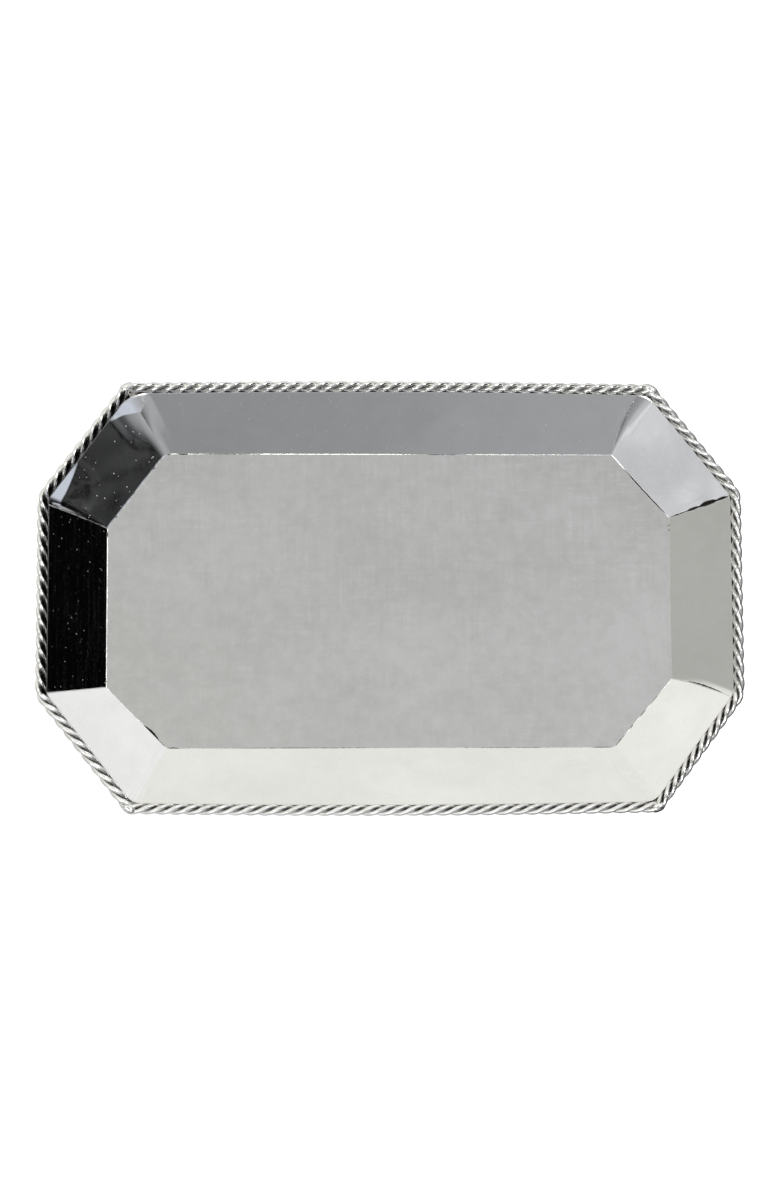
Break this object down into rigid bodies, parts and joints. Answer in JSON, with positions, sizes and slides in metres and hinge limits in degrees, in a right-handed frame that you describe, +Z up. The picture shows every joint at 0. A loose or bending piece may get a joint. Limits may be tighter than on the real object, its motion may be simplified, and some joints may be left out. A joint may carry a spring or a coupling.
{
  "type": "serving tray",
  "caption": "Long octagonal serving tray of polished silver-coloured sheet metal, with sloping soldered walls and a rim of twisted wire rope.",
  "frame": {"origin": "under the middle of the floor plate, on the surface that the tray stands on", "axes": "+X along the long side, +Y across the tray, +Z up out of the open side"},
  "size_m": [0.4572, 0.2824, 0.0306],
  "materials": {
    "floor_sheet": "polished",
    "wall_sheet": "polished",
    "rope_wire": "polished",
    "solder": "satin"
  },
  "bodies": {
    "root": {"floor_plate": "floor_sheet", "right_wall": "wall_sheet", "back_right_wall": "wall_sheet", "back_wall": "wall_sheet", "back_left_wall": "wall_sheet", "left_wall": "wall_sheet", "front_left_wall": "wall_sheet", "front_wall": "wall_sheet", "front_right_wall": "wall_sheet", "right_floor_seam": "solder", "back_right_floor_seam": "solder", "back_floor_seam": "solder", "back_left_floor_seam": "solder", "left_floor_seam": "solder", "front_left_floor_seam": "solder", "front_floor_seam": "solder", "front_right_floor_seam": "solder", "wall_seam_right": "solder", "wall_seam_back_right": "solder", "wall_seam_back": "solder", "wall_seam_back_left": "solder", "wall_seam_left": "solder", "wall_seam_front_left": "solder", "wall_seam_front": "solder", "wall_seam_front_right": "solder", "back_rope_strand_a": "rope_wire", "back_rope_strand_b": "rope_wire", "back_rope_strand_c": "rope_wire", "left_rope_strand_a": "rope_wire", "left_rope_strand_b": "rope_wire", "left_rope_strand_c": "rope_wire", "front_rope_strand_a": "rope_wire", "front_rope_strand_b": "rope_wire", "front_rope_strand_c": "rope_wire", "right_rope_strand_a": "rope_wire", "right_rope_strand_b": "rope_wire", "right_rope_strand_c": "rope_wire", "back_rope_solder": "solder", "left_rope_solder": "solder", "front_rope_solder": "solder", "right_rope_solder": "solder", "back_rope_joint": "solder", "left_rope_joint": "solder", "front_rope_joint": "solder", "right_rope_joint": "solder"}
  },
  "joints": []
}
